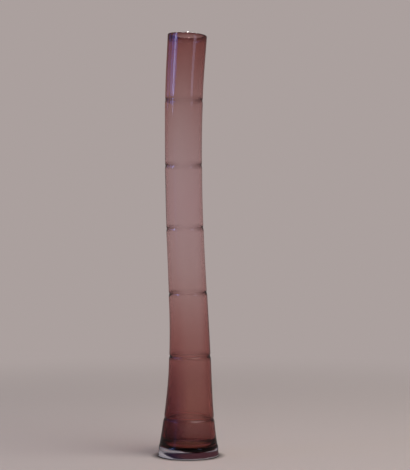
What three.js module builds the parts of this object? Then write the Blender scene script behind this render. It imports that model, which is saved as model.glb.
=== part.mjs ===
// A tall, slim vase of cased glass that bows gently from side to side.
// It is three layers fused while hot: a clear foot, a clear casing with rings turned in it,
// and an amethyst lining that gives the vase its colour and bulges down into the foot.
// Millimetres, +Z up, with the origin at the middle of the foot's underside.
import * as THREE from "three";

// Outer form
const rimHeight = 500;
const rimRadius = 23.4;
const waistHeight = 300;
const waistRadius = 21.7;
const footTopRadius = 35.4;
// How much wider the foot is at the table than at its top
const footSplay = 0.5;
// The foot's thickness at its edge, and at the middle of its dished top
const footThickness = 8;
const footMiddle = 2;
const footEdgeRounding = 1.2;
// Height over which the flare above the foot dies away to about a third
const flareHeight = 70;

// Clear casing, from its thickest just above the foot to its thinnest at the rim
const casingAtFoot = 3.4;
const casingAtWaist = 1.5;
const casingAtRim = 0.6;

// Amethyst lining, thinnest at the waist where the colour is palest
const liningAtFoot = 3.8;
const liningAtWaist = 0.6;
const liningAtRim = 1.5;
const floorThickness = 3.2;
const floorRounding = 14;
const lipRounding = 0.6;

// A rounded edge takes up at most this share of the wall that it rounds
const roundedShare = 0.8;

// Fused layers keep this clearance, so that each stays a solid of its own
const layerGap = 0.3;

// Rings turned in the casing by hand, so they are a little unevenly spaced
const ringHeights = [45, 118.5, 193.5, 270.5, 345, 422.5];
const ringWidth = 5.5;
const ringDepth = 0.45;
const plainBelowRim = 40;

// Sideways bow of the axis: heights, and how far the axis lies towards +X there
const bow = [
  { height: 45, shift: 0.7 },
  { height: 100, shift: 1.8 },
  { height: 155, shift: 1.0 },
  { height: 215, shift: -1.8 },
  { height: 285, shift: -4.7 },
  { height: 365, shift: -6.0 },
  { height: 435, shift: -5.0 },
];
const rimShift = -1.3;
const straightBelowRim = 40;

// Fineness of the faceted surfaces
const facetsAround = 40;
const rowSpacing = 20;
const rowsPerRing = 4;
const rowsPerRounding = 4;
const ringsOnDish = 6;

const casingBottom = footThickness + layerGap;
const floorHeight = footMiddle + layerGap + floorThickness;

// Height of the foot's dished top at a distance from the middle
function footTop(radius) {
  return footMiddle + (footThickness - footMiddle) * (radius / footTopRadius) ** 2;
}

// A size that falls from its value at the foot to its value at the waist, and then runs to its rim value
function alongWall(height, atFoot, atWaist, atRim) {
  const flare = Math.exp((footThickness - height) / flareHeight);
  const climb = Math.max(0, (height - waistHeight) / (rimHeight - waistHeight));
  return atWaist + (atFoot - atWaist) * flare + (atRim - atWaist) * climb ** 2;
}

function outerRadius(height) {
  return alongWall(height, footTopRadius, waistRadius, rimRadius);
}

function casingInnerRadius(height) {
  return outerRadius(height) - alongWall(height, casingAtFoot, casingAtWaist, casingAtRim);
}

function liningOuterRadius(height) {
  return casingInnerRadius(height) - layerGap;
}

function liningInnerRadius(height) {
  return liningOuterRadius(height) - alongWall(height, liningAtFoot, liningAtWaist, liningAtRim);
}

// Heights from one level to another in even steps, both ends included
function rows(from, to, spacing = rowSpacing) {
  const steps = Math.max(1, Math.ceil(Math.abs(to - from) / spacing));
  return Array.from({ length: steps + 1 }, (_, i) => from + ((to - from) * i) / steps);
}

function wall(radiusAt, from, to) {
  return rows(from, to).map((height) => new THREE.Vector2(radiusAt(height), height));
}

// The foot's dished top between two distances from the middle, or the underside of what lies on it
function dish(from, to, clearance = 0) {
  return rows(from, to, Math.abs(to - from) / ringsOnDish).map(
    (radius) => new THREE.Vector2(radius, footTop(radius) + clearance),
  );
}

// Where a wall that stands on the dish meets it
function seat(radiusAt) {
  const radius = radiusAt(footTop(radiusAt(footThickness)) + layerGap);
  return new THREE.Vector2(radius, footTop(radius) + layerGap);
}

// A rounded corner from one point to another, tangent to both sides of the corner
function rounding(from, corner, to) {
  return new THREE.QuadraticBezierCurve(from, corner, to).getPoints(rowsPerRounding);
}

// The lip's rounded edge between the wall and the flat top of one layer
function lipEdge(radiusAt, thickness, inwards) {
  const round = Math.min(lipRounding, roundedShare * thickness);
  const corner = new THREE.Vector2(radiusAt(rimHeight), rimHeight);
  const onWall = new THREE.Vector2(radiusAt(rimHeight - round), rimHeight - round);
  const onTop = new THREE.Vector2(corner.x + (inwards ? -round : round), rimHeight);
  return inwards ? rounding(onWall, corner, onTop) : rounding(onTop, corner, onWall);
}

// Shift and slope of the bowed axis at a height, smooth through every point of the bow.
// The axis is upright through the foot.
const axisPoints = [
  { height: footThickness, shift: 0 },
  ...bow.filter((point) => point.height < rimHeight - straightBelowRim),
  { height: rimHeight, shift: rimShift },
].sort((a, b) => a.height - b.height);

function slopeAt(i) {
  if (i === 0) return 0;
  const before = axisPoints[i - 1];
  const after = axisPoints[Math.min(i + 1, axisPoints.length - 1)];
  return (after.shift - before.shift) / (after.height - before.height);
}

function axisAt(height) {
  if (height <= footThickness) return { shift: 0, slope: 0 };
  const found = axisPoints.findIndex((point) => point.height >= height);
  const i = found < 0 ? axisPoints.length - 2 : Math.max(0, found - 1);
  const low = axisPoints[i];
  const high = axisPoints[i + 1];
  const span = high.height - low.height;
  const t = (height - low.height) / span;
  const startSlope = slopeAt(i) * span;
  const endSlope = slopeAt(i + 1) * span;
  const rise = high.shift - low.shift;
  const bend = 3 * rise - 2 * startSlope - endSlope;
  const twist = startSlope + endSlope - 2 * rise;
  return {
    shift: low.shift + startSlope * t + bend * t ** 2 + twist * t ** 3,
    slope: (startSlope + 2 * bend * t + 3 * twist * t ** 2) / span,
  };
}

// Turns a profile about Z, then bows it: every level moves with the axis and stays square to it
function bowedLathe(profile) {
  const geometry = new THREE.LatheGeometry(profile, facetsAround);
  geometry.rotateX(Math.PI / 2);
  const position = geometry.getAttribute("position");
  for (let i = 0; i < position.count; i += 1) {
    const across = position.getX(i);
    const height = position.getZ(i);
    const { shift, slope } = axisAt(height);
    const tilt = Math.atan(slope);
    position.setX(i, shift + across * Math.cos(tilt));
    position.setZ(i, height - across * Math.sin(tilt));
  }
  geometry.computeVertexNormals();
  return geometry;
}

function layer(name, profile, material) {
  const mesh = new THREE.Mesh(bowedLathe(profile), material);
  mesh.name = name;
  return mesh;
}

// Clear foot: a solid disc, flat underneath, with a rounded lower edge and a dished top
function footProfile() {
  const radius = footTopRadius + footSplay;
  const round = Math.min(footEdgeRounding, roundedShare * footThickness);
  return [
    new THREE.Vector2(0, 0),
    ...rounding(
      new THREE.Vector2(radius - round, 0),
      new THREE.Vector2(radius, 0),
      new THREE.Vector2(radius, round),
    ),
    ...dish(footTopRadius, 0),
  ];
}

// How deep a ring is cut at a distance from its middle: a smooth shallow groove
function ringCut(distance) {
  return (ringDepth * (1 + Math.cos((2 * Math.PI * distance) / ringWidth))) / 2;
}

function ringPoints(ringHeight) {
  return Array.from({ length: rowsPerRing + 1 }, (_, i) => {
    const distance = ringWidth * (i / rowsPerRing - 1 / 2);
    const height = ringHeight + distance;
    return new THREE.Vector2(outerRadius(height) - ringCut(distance), height);
  });
}

// Clear casing: an open tube on the foot, with the rings turned in its outside
function casingProfile() {
  const innerSeat = seat(casingInnerRadius);
  const points = [innerSeat];
  let from = casingBottom;
  for (const ringHeight of ringHeights.filter((height) => height < rimHeight - plainBelowRim)) {
    points.push(...wall(outerRadius, from, ringHeight - ringWidth / 2).slice(0, -1));
    points.push(...ringPoints(ringHeight).slice(0, -1));
    from = ringHeight + ringWidth / 2;
  }
  const lip = lipEdge(outerRadius, casingAtRim, true);
  points.push(...wall(outerRadius, from, lip[0].y).slice(0, -1), ...lip);
  points.push(...wall(casingInnerRadius, rimHeight, innerSeat.y).slice(0, -1), innerSeat);
  return points;
}

// Amethyst lining: a tall cup inside the casing, bulging into the foot's dish below
function liningProfile() {
  const outerSeat = seat(liningOuterRadius);
  const lip = lipEdge(liningInnerRadius, liningAtRim, false);
  const floorEdge = liningInnerRadius(floorHeight);
  const wallFoot = floorHeight + floorRounding;
  return [
    ...dish(0, outerSeat.x, layerGap).slice(0, -1),
    outerSeat,
    ...wall(liningOuterRadius, outerSeat.y, rimHeight).slice(1),
    ...lip.slice(0, -1),
    ...wall(liningInnerRadius, lip[lip.length - 1].y, wallFoot).slice(0, -1),
    ...rounding(
      new THREE.Vector2(liningInnerRadius(wallFoot), wallFoot),
      new THREE.Vector2(floorEdge, floorHeight),
      new THREE.Vector2(floorEdge - floorRounding, floorHeight),
    ),
    new THREE.Vector2(0, floorHeight),
  ];
}

const footGlass = new THREE.MeshStandardMaterial({
  color: 0xe9eef0,
  roughness: 0.03,
  metalness: 0,
  transparent: true,
  opacity: 0.35,
});

const casingGlass = new THREE.MeshStandardMaterial({
  color: 0xe6e9ea,
  roughness: 0.04,
  metalness: 0,
  transparent: true,
  opacity: 0.3,
});

const amethystGlass = new THREE.MeshStandardMaterial({
  color: 0x7a4548,
  roughness: 0.05,
  metalness: 0,
  transparent: true,
  opacity: 0.7,
});

const vase = new THREE.Group();
vase.add(layer("clear_foot", footProfile(), footGlass));
vase.add(layer("clear_casing", casingProfile(), casingGlass));
vase.add(layer("amethyst_lining", liningProfile(), amethystGlass));

export default vase;
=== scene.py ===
import math

import bpy
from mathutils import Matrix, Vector


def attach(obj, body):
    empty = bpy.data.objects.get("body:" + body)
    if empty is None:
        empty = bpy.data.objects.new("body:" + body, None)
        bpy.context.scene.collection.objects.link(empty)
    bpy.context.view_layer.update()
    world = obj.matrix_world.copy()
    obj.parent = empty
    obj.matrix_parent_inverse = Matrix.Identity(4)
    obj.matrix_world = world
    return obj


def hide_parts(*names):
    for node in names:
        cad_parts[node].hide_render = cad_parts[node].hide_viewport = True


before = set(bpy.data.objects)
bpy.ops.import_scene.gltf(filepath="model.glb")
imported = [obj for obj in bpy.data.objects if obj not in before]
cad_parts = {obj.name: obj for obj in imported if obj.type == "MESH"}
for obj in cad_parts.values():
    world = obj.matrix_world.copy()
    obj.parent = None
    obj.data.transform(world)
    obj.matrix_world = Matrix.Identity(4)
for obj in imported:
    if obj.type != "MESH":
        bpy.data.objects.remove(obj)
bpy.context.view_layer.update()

# A tall, slim vase of cased glass that bows gently from side to side: a clear body with a heavy
# clear foot, and a layer of amethyst glass just under its inner surface.
# The lengths are in millimetres, and become metres where a mesh or a material is made.
MM = 0.001

# Outer form
RIM_HEIGHT = 500.0
RIM_RADIUS = 23.4
WAIST_HEIGHT = 300.0
WAIST_RADIUS = 21.7
FOOT_THICKNESS = 8.0
FOOT_TOP_RADIUS = 35.4
FOOT_SPLAY = 0.5
FOOT_EDGE_ROUNDING = 0.9
FLARE_HEIGHT = 70.0

# The foot's upright side ends at this height, and runs into the flare over this far
SIDE_TOP = 9.5
SIDE_BLEND = 4.0

# Wall of the glass body, with its bowl-shaped floor
WALL_AT_FOOT = 5.2
WALL_AT_WAIST = 2.4
WALL_AT_RIM = 2.4
FLOOR_HEIGHT = 10.0
BOWL_HEIGHT = 23.5
BOWL_FLAT_RADIUS = 12.0
LIP_HEIGHT = 1.1
LIP_BOTTOM = RIM_HEIGHT - LIP_HEIGHT

# Turned rings: shallow grooves, with a slight shoulder below each
RING_HEIGHTS = (45.0, 118.5, 193.5, 270.5, 345.0, 422.5)
RING_DEPTHS = (0.8, 0.6, 0.48, 0.37, 0.37, 0.27)
RING_WIDTH = 5.0
SHOULDER = 0.3
SHOULDER_RISE = 1.2
SHOULDER_FADE = 14.0

# Sideways bow of the axis: height, and shift towards +X
BOW = (
    (8.0, 0.0),
    (45.0, 0.7),
    (100.0, 1.8),
    (155.0, 1.0),
    (215.0, -1.8),
    (285.0, -4.7),
    (365.0, -6.0),
    (435.0, -5.0),
    (500.0, -1.3),
)

# Unevenness of a wall that was blown and turned by hand, all of it from this height up.
# Each wave has its share, its count around, the height over which it turns by a radian, and its phase.
UNEVEN_OUTSIDE = 0.02
UNEVEN_INSIDE = 0.12
UNEVEN_FROM = 60.0
WALL_WAVES = ((0.45, 2, 47.0, 0.0), (0.3, 3, -31.0, 1.3), (0.25, 1, 83.0, 4.1))

# Amethyst layer, thinnest at the waist. The rest of its thickness is in multiples of that at the waist.
LAYER_AT_WAIST = 0.54
LAYER_LOWER = 2.1
LAYER_LOWER_HEIGHT = 174.0
LAYER_LOWER_POWER = 4
LAYER_BASE = 4.5
LAYER_BASE_HEIGHT = 20.0
LAYER_UPPER = 2.7
LAYER_UPPER_START = 310.0
LAYER_UPPER_SPAN = 190.0
LAYER_UPPER_POWER = 2.4
LAYER_BOTTOM = 11.4
LAYER_TOP = 499.7
CORNER_HEIGHTS = (17.0, 14.0)
STREAK_WAVES = ((0.05, 3, 90.0, 0.0), (0.03, 7, -130.0, 0.0))

# How much thicker the layer is towards -X, near the foot and near the rim
SIDE_AT_FOOT = 0.72
SIDE_HEIGHT = 90.0
SIDE_AT_RIM = 0.15
SIDE_RIM_START = 400.0
SIDE_RIM_SPAN = 100.0

# Clear glass inside the layer, thicker near the foot and most of all towards +X
LAYER_COVER = 0.08
COVER_AT_FOOT = 2.7
COVER_HEIGHT = 60.0
COVER_LEAN = 0.25

# Rounded underside of the layer, and its thickness across the floor
BULGE_MIDDLE = 4.8
BULGE_EDGE = 11.6
BULGE_RADIUS = 33.5
BULGE_SHIFT = 9.0
BULGE_REACH = 30.0
SHEET_MIDDLE = 1.0
SHEET_EDGE = 2.5
SHEET_RADIUS = 26.0

# Fineness of the meshes
SEGMENTS = 144
PLAIN_STEP = 3.4
RING_STEP = 0.275
LIP_STEP = 0.15
SIDE_STEP = 1.0
DISC_STEP = 2.0
FLAT_RINGS = 4
FLAT_MARGIN = 0.3
ROUNDING_STEPS = 8

WHITE = (1.0, 1.0, 1.0)
BLACK = (0.0, 0.0, 0.0)

# Clear glass: its tint at shares of the height, and how its surface departs from a perfect polish
TINT_AND_PAINTED_SHADE_STOPS = (
    # Greyish foot: painted shade, for the darker backdrop seen through it
    (0.02, (0.76, 0.79, 0.89)),
    (0.03, (0.84, 0.93, 0.88)),
    (0.045, (0.8, 0.95, 0.97)),
    (0.1, (0.96, 0.98, 0.93)),
    (0.26, (0.97, 0.97, 0.96)),
    (0.6, (0.99, 0.97, 1.0)),
    # From here up the rim darkens: painted shade
    (0.984, (0.92, 0.96, 0.96)),
    (0.992, (0.74, 0.72, 0.72)),
    (1.0, (0.45, 0.28, 0.3)),
)
GLASS_IOR = 1.5
GLASS_SHADOW = (0.78, 0.78, 0.78)
POLISH_SCALE = 60.0
POLISH_ROUGHNESS = 0.03
RING_ROUGHNESS = 0.1
LIP_ROUGHNESS = 0.12
RIPPLE_SCALE = 35.0
RIPPLE_STRENGTH = 0.06
RIPPLE_DEPTH = 0.4
DRAWN_OUT = (1.0, 1.0, 0.25)
NOISE_DETAIL = 3.0

# Painted plum shade in the rings and at the rim, for the dark that the glass shows there. It shows most
# where the glass is seen at a grazing angle.
PAINTED_SHADE_SPAN = 4.3
PAINTED_SHADE_TINT = (0.2, 0.085, 0.095)
PAINTED_RING_SHADE_STOPS = ((-1.0, WHITE), (-0.6, PAINTED_SHADE_TINT), (0.5, PAINTED_SHADE_TINT), (0.9, WHITE))
PAINTED_RIM_SHADE_BOTTOM = 0.982
PAINTED_RIM_SHADE_FULL = 0.989
PAINTED_SHADE_SEEN_SQUARE = 0.06

# Painted cool shade low down towards -X: darker, bluer glass on that side
COOL_REACH = 30.0
COOL_HEIGHT = 140.0
PAINTED_COOL_SHADE = (0.6, 0.62, 1.0)

# Underside: a painted reflection of the lining where it is seen flat, a plum-tinted mirror in a round
# patch, navy at its edge
UNDERSIDE_HEIGHT = 0.02
PAINTED_MIRROR_MIDDLE = (43.0, -3.0)
PAINTED_MIRROR_RADIUS = 62.0
PAINTED_MIRROR_BACK = 33.7
PAINTED_MIRROR_BACK_SLOPE = 0.78
PAINTED_MIRROR_STOPS = ((0.75, (0.17, 0.06, 0.076)), (0.93, (0.04, 0.025, 0.07)))
PAINTED_MIRROR_END = ((0.97, WHITE), (1.0, BLACK))
PAINTED_MIRROR_FACING = 0.6
PAINTED_MIRROR_ROUGHNESS = 0.02

# Painted highlight line round the foot's edge, above a painted contact shadow, at shares of its height
PAINTED_EDGE_HEIGHT = 1.4
PAINTED_EDGE_STOPS = ((0.4, (0.03, 0.02, 0.02)), (0.5, (0.7, 0.66, 0.67)))
PAINTED_EDGE_SHARE = (0.85, 0.85, 0.85)
PAINTED_EDGE_SHARE_STOPS = ((0.0, BLACK), (0.02, PAINTED_EDGE_SHARE), (0.75, PAINTED_EDGE_SHARE), (0.95, BLACK))

# Amethyst glass
AMETHYST = (0.596, 0.03, 0.0)
AMETHYST_DENSITY = 460.0

# Studio, in metres
BACKDROP = (0.407, 0.352, 0.342)
DARK_BAND = (0.06, 0.05, 0.05)
CEILING = (0.3, 0.27, 0.27)
SKY_STOPS = ((0.2, BACKDROP), (0.5, DARK_BAND), (0.85, CEILING))
SOFT_LIGHT = (0.97, 0.98, 1.0)
SOFT_STRENGTH = 0.4
MIRROR_LOSS = 0.65
FLOOR_SIZE = 12.0
FLOOR_DROP = 0.0003
FLOOR_PALE = (0.385, 0.333, 0.315)
FLOOR_FADE = (0.35, 1.3)
CAMERA_PLACE = (0.0197, -1.554, 0.262)
CAMERA_LENS = 100.0
CAMERA_SENSOR = 36.0

# Shade on the floor close to the foot, and the light that the glass gathers under it.
# That light reaches a little further where it is seen through the glass.
CONTACT_REACH = 0.01
CONTACT_DEPTH = 2.5
CONTACT_SAMPLES = 8
GATHERED_STOPS = ((0.7, (0.27, 0.2, 0.13)), (0.95, (0.42, 0.4, 0.43)))
GATHERED_REACH = 0.96
GATHERED_REACH_MORE = 0.12

# Lights: name, place, point it faces, size across and up, watts, colour, and whether it lights the floor
LIGHTS = (
    ("window", (-1.45, -0.55, 0.73), (0.0, 0.0, 0.73), (0.32, 0.41), 1.5, (0.45, 0.54, 1.0), True),
    ("low_sky", (-1.33, -0.9, 0.3), (0.0, 0.0, 0.3), (0.3, 0.35), 0.1, (0.2, 0.35, 1.0), True),
    ("sky", (-1.6, -0.41, 0.75), (0.0, 0.0, 0.75), (1.4, 0.36), 2.5, (0.08, 0.22, 1.0), True),
    ("sky_behind", (-1.61, 0.75, 0.75), (0.0, 0.0, 0.75), (0.9, 0.36), 0.45, (0.08, 0.22, 1.0), True),
    ("lip_spot", (0.04, 0.8, 2.6), (0.0, 0.0, 0.5), (0.35, 1.0), 90.0, (1.0, 0.95, 0.93), False),
    ("lip_line", (-0.3, 0.8, 2.6), (0.0, 0.0, 0.5), (2.6, 0.8), 60.0, (1.0, 0.93, 0.93), False),
    ("strip", (0.73, -0.68, 0.565), (0.0, 0.0, 0.565), (0.3, 0.22), 0.26, (0.65, 0.65, 1.0), True),
    ("arc", (1.2, -1.0, 1.7), (0.0, 0.0, 0.0), (2.4, 0.9), 18.0, (1.0, 0.88, 0.85), False),
    ("overhead", (0.7, -0.6, 2.2), (0.0, 0.0, 0.0), (1.4, 1.4), 46.0, (1.0, 0.97, 0.94), True),
)


def along_wall(height, at_foot, at_waist, at_rim):
    """A size that falls from the foot to the waist, and then runs to its value at the rim."""
    flare = math.exp((FOOT_THICKNESS - height) / FLARE_HEIGHT)
    climb = max(0.0, (height - WAIST_HEIGHT) / (RIM_HEIGHT - WAIST_HEIGHT))
    return at_waist + (at_foot - at_waist) * flare + (at_rim - at_waist) * climb**2


def plain_radius(height):
    return along_wall(height, FOOT_TOP_RADIUS, WAIST_RADIUS, RIM_RADIUS)


def groove_at(height):
    """How deep the nearest ring's groove is."""
    distance, depth = min((abs(height - ring), depth) for ring, depth in zip(RING_HEIGHTS, RING_DEPTHS))
    if distance >= RING_WIDTH / 2:
        return 0.0
    return depth * (1 + math.cos(2 * math.pi * distance / RING_WIDTH)) / 2


def shoulder_at(height):
    """How far the wall swells just below the next ring up."""
    above = [ring - RING_WIDTH / 2 - height for ring in RING_HEIGHTS]
    below = min((gap for gap in above if gap > 0), default=None)
    if below is None:
        return 0.0
    return SHOULDER * (1 - math.exp(-below / SHOULDER_RISE)) * math.exp(-below / SHOULDER_FADE)


def side_at(height):
    """How far the foot's upright side stands out from the flare, and runs into it above."""
    above = min(1.0, max(0.0, (height - SIDE_TOP) / SIDE_BLEND))
    return (FOOT_TOP_RADIUS - plain_radius(height)) * (1 - above**2 * (3 - 2 * above))


def outer_radius(height):
    return plain_radius(height) - groove_at(height) + shoulder_at(height) + side_at(height)


def inner_radius(height):
    return plain_radius(height) - along_wall(height, WALL_AT_FOOT, WALL_AT_WAIST, WALL_AT_RIM)


def slope_at(i):
    """Slope of the bow at one of its points, upright at the first."""
    if i == 0:
        return 0.0
    (low, shift_low), (high, shift_high) = BOW[i - 1], BOW[min(i + 1, len(BOW) - 1)]
    return (shift_high - shift_low) / (high - low)


def axis_at(height):
    """Shift and slope of the bowed axis, upright through the foot."""
    if height <= BOW[0][0]:
        return 0.0, 0.0
    i = max(k for k in range(len(BOW) - 1) if BOW[k][0] < height)
    (low, shift_low), (high, shift_high) = BOW[i], BOW[i + 1]
    span = high - low
    t = (height - low) / span
    start, end = slope_at(i) * span, slope_at(i + 1) * span
    rise = shift_high - shift_low
    bend = 3 * rise - 2 * start - end
    twist = start + end - 2 * rise
    shift = shift_low + start * t + bend * t**2 + twist * t**3
    return shift, (start + 2 * bend * t + 3 * twist * t**2) / span


def bowed(radius, angle, height):
    """The point in metres of a round section, moved and tilted with the axis."""
    shift, slope = axis_at(height)
    tilt = math.atan(slope)
    across = radius * math.cos(angle)
    x = shift + across * math.cos(tilt)
    z = height - across * math.sin(tilt)
    return Vector((x, radius * math.sin(angle), z)) * MM


def lip_inset(height):
    """How far the rounded lip draws each side of the wall in."""
    rise = max(0.0, (height - LIP_BOTTOM) / LIP_HEIGHT)
    half = (outer_radius(height) - inner_radius(height)) / 2
    return half * (1 - math.sqrt(max(0.0, 1 - rise**2)))


def sum_of_waves(waves, angle, height):
    total = 0.0
    for share, count, pitch, phase in waves:
        total += share * math.sin(count * angle + height / pitch + phase)
    return total


def unevenness(amount, angle, height):
    """How far a wall blown by hand stands out from its true round: at most about the amount."""
    return amount * min(1.0, height / UNEVEN_FROM) * sum_of_waves(WALL_WAVES, angle, height)


def steps(start, end, spacing):
    """Even steps from start to end, no longer than the spacing."""
    count = max(1, math.ceil(abs(end - start) / spacing))
    return [start + (end - start) * i / count for i in range(count + 1)]


def bezier(start, corner, end, count=ROUNDING_STEPS):
    """A rounded corner, tangent to both of its sides."""
    points = []
    for i in range(count + 1):
        t = i / count
        weights = ((1 - t) ** 2, 2 * t * (1 - t), t**2)
        points.append(tuple(sum(w * p[k] for w, p in zip(weights, (start, corner, end))) for k in (0, 1)))
    return points


def wall_heights(bottom, top):
    """Heights up the wall, close together across each ring and its shoulder."""
    heights = steps(bottom, bottom + 2 * SIDE_BLEND, SIDE_STEP)
    for ring in RING_HEIGHTS:
        heights += steps(heights[-1], ring - RING_WIDTH, PLAIN_STEP)[1:]
        heights += steps(heights[-1], ring + RING_WIDTH / 2, RING_STEP)[1:]
    return heights + steps(heights[-1], top, PLAIN_STEP)[1:]


def foot_rows():
    """The flat underside, its rounded edge and the foot's splayed side."""
    edge = FOOT_TOP_RADIUS + FOOT_SPLAY
    flat = edge - FOOT_EDGE_ROUNDING
    span = FOOT_THICKNESS - FOOT_EDGE_ROUNDING
    rings = steps(flat / FLAT_RINGS, flat - FLAT_MARGIN, flat / FLAT_RINGS)
    rows = [(0.0, 0.0)] + [(radius, 0.0) for radius in rings]
    rows += bezier((flat, 0.0), (edge, 0.0), (edge, FOOT_EDGE_ROUNDING))
    for height in steps(FOOT_EDGE_ROUNDING, FOOT_THICKNESS, SIDE_STEP)[1:-1]:
        rows.append((edge - FOOT_SPLAY * (height - FOOT_EDGE_ROUNDING) / span, height))
    return rows


def lip_rows():
    """The rounded lip, from the outside of the wall to its inside."""
    outside, inside = outer_radius(LIP_BOTTOM), inner_radius(LIP_BOTTOM)
    middle, half = (outside + inside) / 2, (outside - inside) / 2
    turns = [math.pi * i / (2 * ROUNDING_STEPS) for i in range(1, 2 * ROUNDING_STEPS)]
    return [(middle + half * math.cos(turn), LIP_BOTTOM + LIP_HEIGHT * math.sin(turn)) for turn in turns]


def bowl_rows():
    """The inside of the floor, from the wall to the axis."""
    wall_foot = (inner_radius(BOWL_HEIGHT), BOWL_HEIGHT)
    corner = (inner_radius(FLOOR_HEIGHT), FLOOR_HEIGHT)
    rounding = bezier(wall_foot, corner, (BOWL_FLAT_RADIUS, FLOOR_HEIGHT), 2 * ROUNDING_STEPS)
    return rounding + [(BOWL_FLAT_RADIUS / 2, FLOOR_HEIGHT), (0.0, FLOOR_HEIGHT)]


def body_rows():
    """The whole profile: underside, outside, lip, inside and floor."""
    outside = [(outer_radius(height), height) for height in wall_heights(FOOT_THICKNESS, LIP_BOTTOM)]
    inside = [(inner_radius(height), height) for height in wall_heights(BOWL_HEIGHT, LIP_BOTTOM)]
    return foot_rows() + outside + lip_rows() + inside[:0:-1] + bowl_rows()


def lathe(name, rows, place):
    """A closed mesh of rings from one point on the axis to another, with place giving each point."""
    first, *between, last = rows
    verts = [place(*first, 0.0, 0)]
    for index, (radius, height) in enumerate(between, 1):
        for k in range(SEGMENTS):
            verts.append(place(radius, height, 2 * math.pi * k / SEGMENTS, index))
    verts.append(place(*last, 0.0, len(rows) - 1))
    faces = []
    for k in range(SEGMENTS):
        after = (k + 1) % SEGMENTS
        faces.append((0, 1 + after, 1 + k))
        for i in range(len(between) - 1):
            low, high = 1 + i * SEGMENTS, 1 + (i + 1) * SEGMENTS
            faces.append((low + k, low + after, high + after, high + k))
        low = 1 + (len(between) - 1) * SEGMENTS
        faces.append((low + k, low + after, len(verts) - 1))
    mesh = bpy.data.meshes.new(name)
    mesh.from_pydata(verts, [], faces)
    mesh.shade_smooth()
    return added(name, mesh)


def added(name, data):
    """A new object in the scene."""
    thing = bpy.data.objects.new(name, data)
    bpy.context.scene.collection.objects.link(thing)
    return thing


def make_body():
    rows = body_rows()
    lip = next(i for i, row in enumerate(rows) if row[1] >= LIP_BOTTOM)

    def place(radius, height, angle, index):
        amount = UNEVEN_INSIDE if index > lip else UNEVEN_OUTSIDE
        return bowed(radius + unevenness(amount, angle, height), angle, height)

    return lathe("glass_body", rows, place)


def layer_multiple(height):
    """Thickness of the amethyst layer, as a multiple of that at the waist."""
    lower = LAYER_LOWER * math.exp(-((height / LAYER_LOWER_HEIGHT) ** LAYER_LOWER_POWER))
    base = LAYER_BASE * math.exp(-height / LAYER_BASE_HEIGHT)
    climb = max(0.0, (height - LAYER_UPPER_START) / LAYER_UPPER_SPAN)
    return 1 + lower + base + LAYER_UPPER * climb**LAYER_UPPER_POWER


def layer_thickness(angle, height):
    """The layer is thicker towards -X near its ends, and a little streaky all over."""
    near_rim = max(0.0, (height - SIDE_RIM_START) / SIDE_RIM_SPAN)
    side = SIDE_AT_FOOT * math.exp(-((height / SIDE_HEIGHT) ** 2)) + SIDE_AT_RIM * near_rim
    uneven = side * max(0.0, -math.cos(angle)) + sum_of_waves(STREAK_WAVES, angle, height)
    return LAYER_AT_WAIST * layer_multiple(height) * (1 + uneven)


def layer_cover(angle, height):
    """How much clear glass lies inside the layer: hardly any, but more in the thick wall near the foot."""
    lean = 1 - COVER_LEAN + COVER_LEAN * math.cos(angle)
    return LAYER_COVER + COVER_AT_FOOT * math.exp(-height / COVER_HEIGHT) * lean


def sheet_thickness(radius):
    return SHEET_MIDDLE + (SHEET_EDGE - SHEET_MIDDLE) * (radius / SHEET_RADIUS) ** 3


def bulge_at(radius, angle):
    """Height of the layer's rounded underside, which hangs lowest a little towards +X."""
    shift = BULGE_SHIFT * (1 - (radius / BULGE_RADIUS) ** 2)
    share = math.hypot(radius * math.cos(angle) - shift, radius * math.sin(angle)) / BULGE_RADIUS
    return BULGE_MIDDLE + (BULGE_EDGE - BULGE_MIDDLE) * share**2


def make_layer():
    heights = wall_heights(LAYER_BOTTOM, LIP_BOTTOM)
    heights += steps(heights[-1], LAYER_TOP, LIP_STEP)[1:]
    bulge = [(radius, 0.0) for radius in steps(0.0, BULGE_REACH, DISC_STEP)]
    outer = [(inner_radius(height), height) for height in heights]
    inner = [(inner_radius(height), height) for height in reversed(heights) if height > BOWL_HEIGHT]
    corner = [(inner_radius(height), height) for height in CORNER_HEIGHTS]
    sheet = [(radius, sheet_thickness(radius)) for radius in steps(SHEET_RADIUS, 0.0, DISC_STEP)]
    rows = bulge + outer + inner + corner + sheet
    first_outer = len(bulge)
    first_inner = first_outer + len(outer)
    first_sheet = len(rows) - len(sheet)

    def place(radius, height, angle, index):
        if index < first_outer or index >= first_sheet:
            return bowed(radius, angle, height + bulge_at(radius, angle))
        wave = unevenness(UNEVEN_INSIDE, angle, height)
        inside = radius + layer_cover(angle, height) + lip_inset(height) + wave
        outside = outer_radius(height) - LAYER_COVER - lip_inset(height)
        if index < first_inner:
            inside = min(outside, inside + layer_thickness(angle, height))
        return bowed(inside, angle, height)

    return lathe("amethyst_layer", rows, place)


def opaque(colour):
    return (*colour, 1.0)


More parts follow.
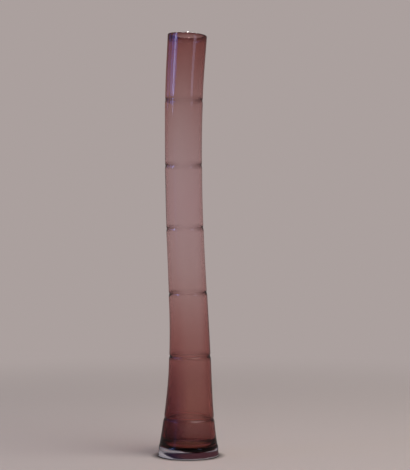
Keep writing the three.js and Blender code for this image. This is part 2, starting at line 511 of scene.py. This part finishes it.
class Nodes:
    """Short calls for one node tree."""

    def __init__(self, tree):
        self.tree = tree
        tree.nodes.clear()

    def add(self, kind, values=None, **settings):
        """A node with its settings and the values of its unlinked inputs."""
        node = self.tree.nodes.new(kind)
        for name, value in settings.items():
            setattr(node, name, value)
        for name, value in (values or {}).items():
            node.inputs[name].default_value = value
        return node

    def link(self, source, target):
        self.tree.links.new(source, target)

    def math(self, operation, *values):
        node = self.add("ShaderNodeMath", operation=operation)
        for socket, value in zip(node.inputs, values):
            if isinstance(value, (int, float)):
                socket.default_value = value
            else:
                self.link(value, socket)
        return node.outputs[0]

    def place(self):
        """Coordinates in the object's own space, in metres."""
        return self.add("ShaderNodeTexCoord").outputs["Object"]

    def separated(self, vector):
        node = self.add("ShaderNodeSeparateXYZ")
        self.link(vector, node.inputs[0])
        return node.outputs

    def facing(self):
        """0 where the surface is seen square on, and 1 at a grazing angle."""
        return self.add("ShaderNodeLayerWeight").outputs["Facing"]

    def shader_mix(self, factor, first, second):
        node = self.add("ShaderNodeMixShader")
        self.link(factor, node.inputs[0])
        self.link(first, node.inputs[1])
        self.link(second, node.inputs[2])
        return node.outputs[0]

    def multiplied(self, factor, first, second):
        """The first colour, multiplied by a share of the second."""
        node = self.add("ShaderNodeMix", data_type="RGBA", blend_type="MULTIPLY")
        sockets = {socket.identifier: socket for socket in node.inputs}
        self.link(factor, node.inputs["Factor"])
        self.link(first, sockets["A_Color"])
        self.link(second, sockets["B_Color"])
        return next(socket for socket in node.outputs if socket.identifier == "Result_Color")

    def ramp(self, factor, stops):
        node = self.add("ShaderNodeValToRGB")
        elements = node.color_ramp.elements
        while len(elements) < len(stops):
            elements.new(1.0)
        for element, (position, colour) in zip(elements, stops):
            element.position = position
            element.color = opaque(colour)
        self.link(factor, node.inputs[0])
        return node.outputs[0]


def new_material(name):
    material = bpy.data.materials.new(name)
    material.use_nodes = True
    return material, Nodes(material.node_tree)


def glass_surface(n, shader, shadow_colour):
    """Refracts what is seen through it, and lets light for the shadow pass straight through."""
    clear = n.add("ShaderNodeBsdfTransparent", {"Color": opaque(shadow_colour)})
    for_shadow = n.add("ShaderNodeLightPath").outputs["Is Shadow Ray"]
    out = n.add("ShaderNodeOutputMaterial")
    n.link(n.shader_mix(for_shadow, shader, clear.outputs[0]), out.inputs["Surface"])
    return out


def uneven(n, scale, highest):
    """Soft noise from nothing up to a value, stretched along the height as drawn glass is."""
    mapping = n.add("ShaderNodeMapping", {"Scale": DRAWN_OUT})
    n.link(n.place(), mapping.inputs["Vector"])
    noise = n.add("ShaderNodeTexNoise", {"Scale": scale, "Detail": NOISE_DETAIL})
    n.link(mapping.outputs[0], noise.inputs["Vector"])
    spread = n.add("ShaderNodeMapRange", {"To Min": 0.0, "To Max": highest})
    n.link(noise.outputs["Fac"], spread.inputs["Value"])
    return spread.outputs[0]


def painted_shade_stops():
    """Painted plum shade at every ring and at the rim, else white."""
    stops = []
    for ring in RING_HEIGHTS:
        stops += [((ring + share * PAINTED_SHADE_SPAN) / RIM_HEIGHT, colour) for share, colour in PAINTED_RING_SHADE_STOPS]
    return stops + [(PAINTED_RIM_SHADE_BOTTOM, WHITE), (PAINTED_RIM_SHADE_FULL, PAINTED_SHADE_TINT)]


def with_painted_cool_shade(n, place, colour):
    """The colour, with painted cool shade towards -X near the foot, where the lining is also thickest."""
    aside = n.math("MAXIMUM", n.math("DIVIDE", place["X"], -COOL_REACH * MM), 0.0)
    climbed = n.math("DIVIDE", place["Z"], COOL_HEIGHT * MM)
    low = n.math("MAXIMUM", n.math("SUBTRACT", 1.0, climbed), 0.0)
    low = n.math("MULTIPLY", low, n.math("GREATER_THAN", place["Z"], LAYER_BOTTOM * MM))
    # Colour of the painted cool shade
    painted_cool = n.add("ShaderNodeRGB").outputs[0]
    painted_cool.default_value = opaque(PAINTED_COOL_SHADE)
    return n.multiplied(n.math("MULTIPLY", aside, low), colour, painted_cool)


def clear_colour(n, place, share, painted_shade):
    """The tint by height, with painted shade at the rings and the rim, and painted cool shade at one side.
    """
    tint = n.ramp(share, TINT_AND_PAINTED_SHADE_STOPS)
    grazing = n.math("ADD", n.facing(), PAINTED_SHADE_SEEN_SQUARE)
    return with_painted_cool_shade(n, place, n.multiplied(grazing, tint, painted_shade))


def clear_roughness(n, place, share, painted_shade):
    """A fire polish, softer in the rings and over the lip."""
    below_rim = n.math("LESS_THAN", share, PAINTED_RIM_SHADE_BOTTOM)
    in_rings = n.math("MULTIPLY", n.math("SUBTRACT", 1.0, painted_shade), below_rim)
    on_lip = n.math("GREATER_THAN", place["Z"], LIP_BOTTOM * MM)
    rings = n.math("MULTIPLY", in_rings, RING_ROUGHNESS)
    softened = n.math("ADD", rings, n.math("MULTIPLY", on_lip, LIP_ROUGHNESS))
    return n.math("ADD", uneven(n, POLISH_SCALE, POLISH_ROUGHNESS), softened)


def rippled(n, place):
    """The slow ripples of hand-worked glass, above the bowl."""
    bump = n.add("ShaderNodeBump", {"Distance": RIPPLE_DEPTH * MM})
    above_floor = n.math("GREATER_THAN", place["Z"], BOWL_HEIGHT * MM)
    n.link(n.math("MULTIPLY", above_floor, RIPPLE_STRENGTH), bump.inputs["Strength"])
    n.link(uneven(n, RIPPLE_SCALE, 1.0), bump.inputs["Height"])
    return bump.outputs[0]


def with_painted_underside_reflection(n, place, surface):
    """The surface, but a painted plum reflection of the lining where the underside is seen flat: all but a
    strip at -X.
    """
    distance = n.add("ShaderNodeVectorMath", operation="DISTANCE")
    n.link(n.place(), distance.inputs[0])
    distance.inputs[1].default_value = (PAINTED_MIRROR_MIDDLE[0] * MM, PAINTED_MIRROR_MIDDLE[1] * MM, 0.0)
    share = n.math("DIVIDE", distance.outputs["Value"], PAINTED_MIRROR_RADIUS * MM)
    back = n.math("SUBTRACT", place["Y"], n.math("MULTIPLY", place["X"], PAINTED_MIRROR_BACK_SLOPE))
    # Glossy tinted to paint the lining's reflection
    painted_mirror = n.add("ShaderNodeBsdfGlossy", {"Roughness": PAINTED_MIRROR_ROUGHNESS})
    n.link(n.ramp(share, PAINTED_MIRROR_STOPS), painted_mirror.inputs["Color"])
    shown = n.ramp(share, PAINTED_MIRROR_END)
    limits = (
        n.math("LESS_THAN", place["Z"], UNDERSIDE_HEIGHT * MM),
        n.math("LESS_THAN", back, PAINTED_MIRROR_BACK * MM),
        n.math("GREATER_THAN", n.facing(), PAINTED_MIRROR_FACING),
    )
    for limit in limits:
        shown = n.math("MULTIPLY", shown, limit)
    return n.shader_mix(shown, surface, painted_mirror.outputs[0])


def with_painted_edge_light(n, place, surface):
    """The surface, but matt round the foot's edge: a painted highlight line above a painted contact
    shadow.
    """
    edge = n.math("DIVIDE", place["Z"], PAINTED_EDGE_HEIGHT * MM)
    # Diffuse band: light for the painted highlight, and dark below it for the painted contact shadow
    painted_edge = n.add("ShaderNodeBsdfDiffuse")
    n.link(n.ramp(edge, PAINTED_EDGE_STOPS), painted_edge.inputs["Color"])
    from_outside = n.math("SUBTRACT", 1.0, n.add("ShaderNodeNewGeometry").outputs["Backfacing"])
    painted_edge_share = n.math("MULTIPLY", n.ramp(edge, PAINTED_EDGE_SHARE_STOPS), from_outside)
    return n.shader_mix(painted_edge_share, surface, painted_edge.outputs[0])


def clear_glass():
    """Fire-polished glass, with a breath of the lining's colour by height and hardly any in the foot,
    which painted shade greys; painted shade also darkens the rings and the rim.
    """
    material, n = new_material("clear_glass")
    place = n.separated(n.place())
    share = n.math("DIVIDE", place["Z"], RIM_HEIGHT * MM)
    # Painted plum shade at the rings and the rim
    painted_shade = n.ramp(share, painted_shade_stops())
    glass = n.add("ShaderNodeBsdfPrincipled", {"Transmission Weight": 1.0, "IOR": GLASS_IOR})
    n.link(clear_colour(n, place, share, painted_shade), glass.inputs["Base Color"])
    n.link(clear_roughness(n, place, share, painted_shade), glass.inputs["Roughness"])
    n.link(rippled(n, place), glass.inputs["Normal"])
    # Painted reflection of the lining on the underside
    surface = with_painted_underside_reflection(n, place, glass.outputs[0])
    # Painted highlight and painted contact shadow round the foot's edge
    glass_surface(n, with_painted_edge_light(n, place, surface), GLASS_SHADOW)
    return material


def amethyst_glass():
    """Coloured all through, and of the same index as the glass around it, so its surface doesn't show."""
    material, n = new_material("amethyst_glass")
    plain = {"Transmission Weight": 1.0, "IOR": 1.0, "Roughness": 0.0, "Base Color": opaque(WHITE)}
    glass = n.add("ShaderNodeBsdfPrincipled", plain)
    out = glass_surface(n, glass.outputs[0], WHITE)
    depth = n.add("ShaderNodeVolumeAbsorption", {"Color": opaque(AMETHYST), "Density": AMETHYST_DENSITY})
    n.link(depth.outputs[0], out.inputs["Volume"])
    return material


def seen_directly(n):
    """1 for camera, glossy and transmission rays, which see the backdrop as it is."""
    path = n.add("ShaderNodeLightPath").outputs
    shiny = n.math("MAXIMUM", path["Is Glossy Ray"], path["Is Transmission Ray"])
    return n.math("MAXIMUM", path["Is Camera Ray"], shiny)


def seen_through_glass(n):
    """1 for rays that have gone into glass, and 0 for those that haven't."""
    depth = n.add("ShaderNodeLightPath").outputs["Transmission Depth"]
    return n.math("GREATER_THAN", depth, 0.5)


def dimmed_by_reflection(n):
    """The strength of the surroundings: less where the outside of the glass mirrors them."""
    outside = n.math("SUBTRACT", 1.0, seen_through_glass(n))
    reflected = n.add("ShaderNodeLightPath").outputs["Is Reflection Ray"]
    mirrored = n.math("MULTIPLY", outside, reflected)
    return n.math("SUBTRACT", 1.0, n.math("MULTIPLY", mirrored, MIRROR_LOSS))


def make_world():
    world = bpy.data.worlds.new("studio")
    world.use_nodes = True
    bpy.context.scene.world = world
    n = Nodes(world.node_tree)
    up = n.separated(n.add("ShaderNodeTexCoord").outputs["Generated"])
    seen = n.add("ShaderNodeBackground")
    n.link(n.ramp(up["Z"], SKY_STOPS), seen.inputs["Color"])
    n.link(dimmed_by_reflection(n), seen.inputs["Strength"])
    soft = n.add("ShaderNodeBackground", {"Color": opaque(SOFT_LIGHT), "Strength": SOFT_STRENGTH})
    out = n.add("ShaderNodeOutputWorld")
    n.link(n.shader_mix(seen_directly(n), soft.outputs[0], seen.outputs[0]), out.inputs["Surface"])


def floor_by_the_vase(n, distance, dark):
    """Pale, with a soft shade by the foot and, under the glass, the light that it gathers."""
    pale = n.add("ShaderNodeBsdfDiffuse", {"Color": opaque(FLOOR_PALE)})
    contact = n.add("ShaderNodeAmbientOcclusion", {"Distance": CONTACT_REACH}, samples=CONTACT_SAMPLES)
    through_glass = seen_through_glass(n)
    lit = n.math("MAXIMUM", n.math("POWER", contact.outputs["AO"], CONTACT_DEPTH), through_glass)
    shaded = n.shader_mix(lit, dark, pale.outputs[0])
    share = n.math("DIVIDE", distance, FOOT_TOP_RADIUS * MM)
    gathered = n.add("ShaderNodeEmission")
    n.link(n.ramp(share, GATHERED_STOPS), gathered.inputs["Color"])
    reach = n.math("MULTIPLY_ADD", through_glass, GATHERED_REACH_MORE, GATHERED_REACH)
    return n.shader_mix(n.math("LESS_THAN", share, reach), shaded, gathered.outputs[0])


def floor_material():
    """The floor by the vase, which runs into the backdrop further out."""
    material, n = new_material("floor")
    length = n.add("ShaderNodeVectorMath", operation="LENGTH")
    n.link(n.place(), length.inputs[0])
    distance = length.outputs["Value"]
    start, end = FLOOR_FADE
    ends = {"From Min": start, "From Max": end}
    fade = n.add("ShaderNodeMapRange", ends, interpolation_type="SMOOTHSTEP")
    n.link(distance, fade.inputs["Value"])
    far = n.add("ShaderNodeEmission", {"Color": opaque(BACKDROP)})
    n.link(seen_directly(n), far.inputs["Strength"])
    dark = n.add("ShaderNodeEmission", {"Strength": 0.0}).outputs[0]
    surface = n.shader_mix(fade.outputs[0], floor_by_the_vase(n, distance, dark), far.outputs[0])
    out = n.add("ShaderNodeOutputMaterial")
    n.link(n.shader_mix(dimmed_by_reflection(n), dark, surface), out.inputs["Surface"])
    return material


def make_floor():
    half = FLOOR_SIZE / 2
    corners = ((-half, -half), (half, -half), (half, half), (-half, half))
    mesh = bpy.data.meshes.new("floor")
    mesh.from_pydata([(x, y, -FLOOR_DROP) for x, y in corners], [], [(0, 1, 2, 3)])
    mesh.materials.append(floor_material())
    floor = added("floor", mesh)


def area_light(name, place, aim, size, watts, colour, on_floor):
    data = bpy.data.lights.new(name, "AREA")
    data.shape = "ELLIPSE"
    data.size, data.size_y = size
    data.energy = watts
    data.color = colour
    light = added(name, data)
    light.location = place
    light.rotation_euler = (Vector(aim) - Vector(place)).to_track_quat("-Z", "Y").to_euler()
    light.visible_camera = False
    light.visible_transmission = False
    light.visible_diffuse = on_floor


def make_camera():
    data = bpy.data.cameras.new("camera")
    data.lens = CAMERA_LENS
    data.sensor_width = CAMERA_SENSOR
    camera = added("camera", data)
    camera.location = CAMERA_PLACE
    camera.rotation_euler = (math.pi / 2, 0.0, 0.0)
    bpy.context.scene.camera = camera


def dress(piece, material, slot, *nodes):
    """Gives a piece its material and its body, and hides the CAD nodes that it stands for."""
    piece.data.materials.append(material)
    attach(piece, "root")
    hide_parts(*nodes)


bpy.context.scene.view_settings.view_transform = "Standard"
make_camera()
make_world()
for light in LIGHTS:
    area_light(*light)
make_floor()
dress(make_body(), clear_glass(), "clear_glass", "clear_foot", "clear_casing")
dress(make_layer(), amethyst_glass(), "amethyst_glass", "amethyst_lining")
